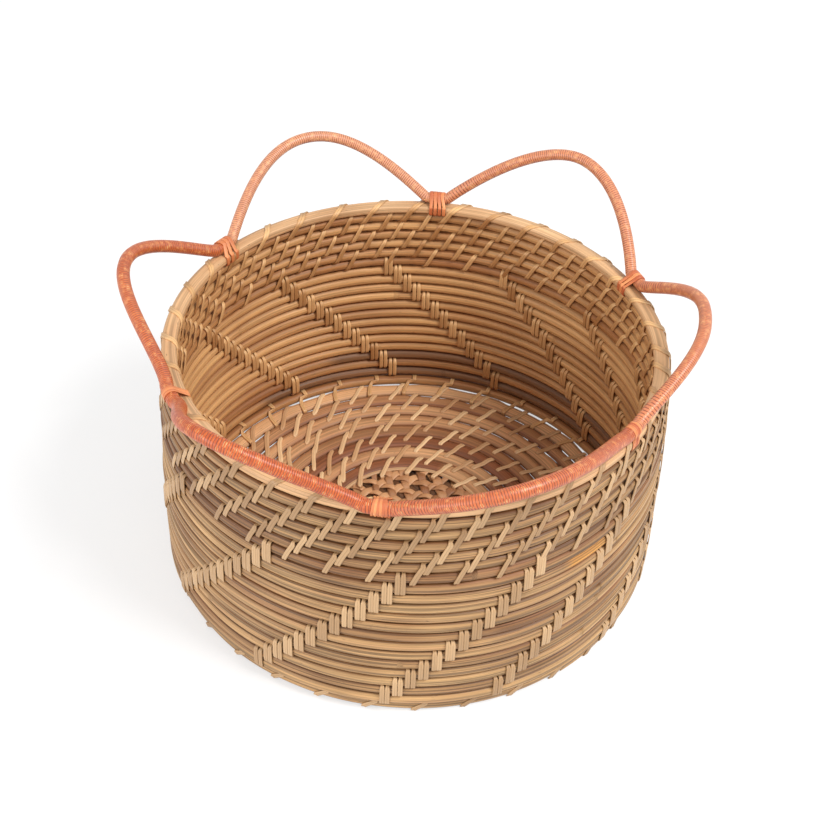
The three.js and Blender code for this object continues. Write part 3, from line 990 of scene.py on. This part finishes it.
def underSplints():  # a flat layer of splints under the plait, darkened as painted shade seen through the plait's holes
    normal, run = splintAxes(underlay["turn"])
    reach = round(underlay["radius"] / underlay["pitch"])
    width, thickness = underlay["pitch"] * underlay["widthShare"], underlay["thickness"]
    made = []
    for line in range(-reach, reach):
        offset = (line + 0.5) * underlay["pitch"]
        half = sqrt(underlay["radius"] ** 2 - offset ** 2)
        tone = underlay["baseTone"] + underlay["driftTone"] * wander(line * 0.7, 5.5)
        middle = normal * offset + upward * underlay["height"]
        made.append([splintRow(middle + run * along, normal, upward, width, thickness, along, tone)
                     for along in (-half, -half / 2, 0.0, half / 2, half)])
    return made


finishPiece("plaitedCentre", splints(0) + splints(1) + splints(2), plaitFinish, ["plaited_centre"])
finishPiece("plaitUnderlay", underSplints(), underShadeFinish)

binding = dict(
    rings=120, sides=8, square=2.4, radius=ground["inner"] - 1.6 * mm, inset=0.0,
    half=(1.5 * mm, 1.0 * mm), swayNoise=(3, 6.2), tone=0.7, toneDrift=0.0, sided=0.0,
    **sizes(middle=3.1, sway=0.3, girth=9),
)
finishPiece("plaitBinding", [hoopRings(binding)], rimFinish)
print("centre plaited")

# Wrapped petals
petals = dict(
    # radius and height in mm, lean in degrees
    shapes=table(
        "radius pale height lean skew power flare",
        (3.6, 0.28, 56.2, 41.5, -0.06, 1.87, 0.97),
        (3.5, 0.4, 59.9, 57.7, -0.06, 2.08, 1.03),
        (3.9, 0.06, 49.1, 57.9, -0.18, 2.04, 1.46),
        (4.1, 0.0, 56.9, 47.8, -0.06, 2.15, 1.78),
        (4.1, 0.06, 48.0, 55.4, -0.18, 2.16, 1.22),
        (3.8, 0.2, 42.8, 52.0, 0.05, 2.41, 1.3),
    ),
    # each lashing's seat in mm: past the rim's outside, above its top, along it
    seats=[(-0.4, 3.4, -3.6), (-3.0, 4.0, 0.5), (-2.2, 3.6, 3.0), (1.6, 2.8, 2.0), (1.6, 2.8, -4.5),
           (-3.6, 4.0, -2.0)],
    footShares=(0.02, 0.35, 0.7), pathSteps=96, easings=6, wrapDrift=0.18,
    loose=(8, 4, 34, 10),  # mm from the foot: slack starts, eases in, ends, eases out
    looseShare=0.5, sides=12, stationsPerWrap=5, toneStep=0.13,
    **sizes(foot=7, wrap=1.4, groove=0.0845, grooveDrift=0.078, sink=0.065),
)


def seatOf(index):  # the seat's radius, angle and height
    out, up, along = petals["seats"][index % scallopCount]
    angle = firstLashing + index * tau / scallopCount + along * mm / wall["rimRadius"]
    return wall["rimRadius"] + out * mm, angle, wall["top"] + up * mm


def petalPath(index):
    look = petals["shapes"][index]
    lean = radians(look["lean"])

    def footAt(seat, along):
        radius, angle, height = seat
        return polar(radius, angle, height) + Vector((-sin(angle), cos(angle), 0)) * along

    first, last = seatOf(index), seatOf(index + 1)
    start, end = footAt(first, petals["foot"]), footAt(last, -petals["foot"])
    rise = polar(sin(lean), (first[1] + last[1]) / 2, cos(lean))
    points = [footAt(first, petals["foot"] * part) for part in petals["footShares"]]
    for step in range(petals["pathSteps"] + 1):
        across = -cos(pi * step / petals["pathSteps"])
        reach = (1 - abs(across) ** look["power"]) ** look["flare"] * look["height"] * mm
        across += look["skew"] * (1 - across * across)
        points.append((start + end) / 2 + (end - start) / 2 * across + rise * reach)
    points += [footAt(last, -petals["foot"] * part) for part in reversed(petals["footShares"])]
    for _ in range(petals["easings"]):  # rounds the turn at the foot
        points = [points[0]] + [
            (points[k - 1] + points[k] * 2 + points[k + 1]) / 4 for k in range(1, len(points) - 1)
        ] + [points[-1]]
    return points


def evenly(points, spacing):
    steps = ((second - first).length for first, second in zip(points, points[1:]))
    lengths = list(accumulate(steps, initial=0.0))
    count = round(lengths[-1] / spacing)
    made = []
    for step in range(count + 1):
        target = lengths[-1] * step / count
        at = min(max(bisect_left(lengths, target) - 1, 0), len(points) - 2)
        part = (target - lengths[at]) / (lengths[at + 1] - lengths[at])
        made.append(points[at].lerp(points[at + 1], unit(part)))
    return made, lengths[-1]


def petalRings(index):
    look = petals["shapes"][index]
    points, length = evenly(petalPath(index), petals["wrap"] / petals["stationsPerWrap"])
    spacing = length / (len(points) - 1)
    looseStart, easeIn, looseEnd, easeOut = petals["loose"]
    rings, phase, side = [], 0.0, upward
    for step, point in enumerate(points):
        before, after = points[max(step - 1, 0)], points[min(step + 1, len(points) - 1)]
        run = (after - before).normalized()
        side = (side - run * side.dot(run)).normalized()
        other = run.cross(side)
        along = length * step / (len(points) - 1)
        near = min(along, length - along) / mm
        slack = wander(along * 8, index + 9.0) > 0.05
        loose = smooth((looseEnd - near) / easeOut) * smooth((near - looseStart) / easeIn) * slack
        pitch = petals["wrap"] * (1.0 + petals["wrapDrift"] * wander(along * 90, index * 5.1))
        pitch *= 1 + petals["looseShare"] * loose
        phase += spacing / pitch if step else 0.0
        groove = petals["groove"] + petals["grooveDrift"] * wander(along * 26, index * 3.7)
        row = []
        for number in range(petals["sides"] + 1):
            around = number / petals["sides"]
            bump = abs(sin(pi * (phase - around))) ** 0.6
            radius = look["radius"] * mm - petals["sink"] + groove * bump
            out = side * cos(tau * around) + other * sin(tau * around)
            # inner holds how far the point faces down, for the painted shade on the petal's
            # underside
            row.append((
                point + out * radius, phase, around, petals["toneStep"] * index,
                0.5 - 0.5 * out.z, look["pale"]))
        rings.append(row)
    return rings


for index in range(scallopCount):
    node = f"scallop_cane_{index + 1}"
    finishPiece(f"petal{index + 1}", [petalRings(index)], petalFinish, [node])
print("petals wrapped")

# Lashings: pitch, lean, width and the wrap's radius in mm
lashings = table(
    "turns pitch spread lean width wrap",
    (3, 2.9, 1.0, 2.6, 2.7, 3.8),
    (4, 2.4, 1.25, -1.0, 2.4, 3.75),
    (3, 3.0, 1.5, 0.8, 2.8, 4.0),
    (5, 1.1, 1.1, -1.0, 1.15, 4.2),
    (6, 1.1, 1.7, 0.0, 1.4, 4.2),
    (5, 1.2, 1.2, -0.8, 1.25, 4.1),
)
lash = dict(
    arc=(-40, 130), thicknessShare=0.2, crownShare=0.25,
    **sizes(bend=1.0, bulge=0.25, lowLift=-0.15, bow=0.1, neck=1.2, climb=0.02),
)


def lashingStations(index, turn, look):
    radius, centre, height = seatOf(index)
    across = (turn - (look["turns"] - 1) / 2) * look["pitch"] * mm
    topAngle = centre + across / radius
    lowAngle = centre + (across * look["spread"] + look["lean"] * mm) / radius
    bend, bulge = lash["bend"], lash["bulge"]
    outer, inner = wall["rimRadius"] + bulge, wall["rimRadius"] - rimLook["depth"] - bulge
    low, top = rimLook["bottom"] + lash["lowLift"], wall["top"] + bulge
    wrap = look["wrap"] * mm + lash["climb"] * look["pitch"] * turn
    angles = mix(lowAngle, topAngle, 0.4), topAngle
    stations = [
        *quarter(0, outer, low, bend, lowAngle),
        (lowAngle, outer + lash["bow"], wall["top"] - lash["neck"], 1.0, 0.0, 0.0),
        *arc((radius, height), wrap, *lash["arc"], angles, 0.0, 9),
        *quarter(2, inner, top, bend, lowAngle),
        *quarter(3, inner, low, bend, lowAngle),
    ]
    return stations + stations[:1]


for index, row in enumerate(lashings):
    thick = lash["thicknessShare"] * mm * row["width"]
    look = dict(row, width=row["width"] * mm, thickness=thick, crown=lash["crownShare"] * thick)
    strands = [stripRings(lashingStations(index, turn, look), look, dice.uniform(-0.1, 1.1))
               for turn in range(look["turns"])]
    finishPiece(f"lashing{index + 1}", strands, lashFinish, [f"scallop_lashing_{index + 1}"])
print("lashings tied")

# Stage, light and camera
studio = dict(
    world=0.68, key=dict(place=(1.1, -0.6, 1.7), size=0.7, power=31.0),
    fill=dict(place=(-1.5, -1.2, 0.7), size=1.2, power=19.0), aim=Vector((0, 0, 0.08)),
    paper=(0.9, 0.9, 0.9, 1.0), white=(1.0, 1.0, 1.0, 1.0), floorSize=6.0, floorGlow=0.53,
    glow=1.1,
)


def facing(place, target):  # stands at place, looks at target
    turn = (target - place).to_track_quat("-Z", "Y").to_matrix()
    return Matrix.Translation(place) @ turn.to_4x4()


def addLamp(name, look):
    data = bpy.data.lights.new(name, "AREA")
    data.shape, data.size, data.energy = "DISK", look["size"], look["power"]
    newObject(name, data).matrix_world = facing(Vector(look["place"]), studio["aim"])


def backdropShare(tree):  # 1 where the backdrop is seen or reflected
    path = addNode(tree, "LightPath")
    return calc(tree, "MAXIMUM", path.outputs["Is Camera Ray"], path.outputs["Is Glossy Ray"])


def addStage():
    shape = bmesh.new()
    bmesh.ops.create_grid(shape, x_segments=1, y_segments=1, size=studio["floorSize"])
    material = bpy.data.materials.new("studioFloor")
    material.use_nodes = True
    tree = material.node_tree
    tree.nodes.clear()
    paper = addNode(tree, "BsdfDiffuse", {"Color": studio["paper"]})
    glow = addNode(tree, "Emission", {"Color": studio["white"], "Strength": studio["glow"]})
    share = calc(tree, "MULTIPLY", backdropShare(tree), studio["floorGlow"])
    both = addNode(tree, "MixShader", {0: share, 1: paper.outputs[0], 2: glow.outputs[0]})
    addNode(tree, "OutputMaterial", {"Surface": both.outputs[0]})
    meshObject("studioFloor", shape, material)


def addCamera():
    focal, frameSize, sensor = 1445.14, 840, 36.0  # focal length and frame in pixels
    target, distance = Vector((4.44, 0, 92.6)) * mm, 900.8 * mm
    elevation, tilt = radians(40.587), radians(2.8186)
    place = target + Vector((0, -cos(elevation), sin(elevation))) * distance
    data = bpy.data.cameras.new("photoView")
    data.sensor_width = sensor
    data.lens = focal / frameSize * sensor
    camera = newObject("photoView", data)
    camera.matrix_world = facing(place, target) @ Matrix.Rotation(tilt, 4, "Z")
    bpy.context.scene.camera = camera


world = bpy.data.worlds.new("studio")
world.use_nodes = True
tree = world.node_tree
background = tree.nodes["Background"].inputs
strength = spread(tree, backdropShare(tree), 0.0, 1.0, studio["world"], 1.0)
give(tree, background["Color"], studio["white"])
give(tree, background["Strength"], strength)
bpy.context.scene.world = world
bpy.context.scene.view_settings.view_transform = "Standard"
addLamp("keyLamp", studio["key"])
addLamp("fillLamp", studio["fill"])
addStage()
addCamera()
print("stage set")
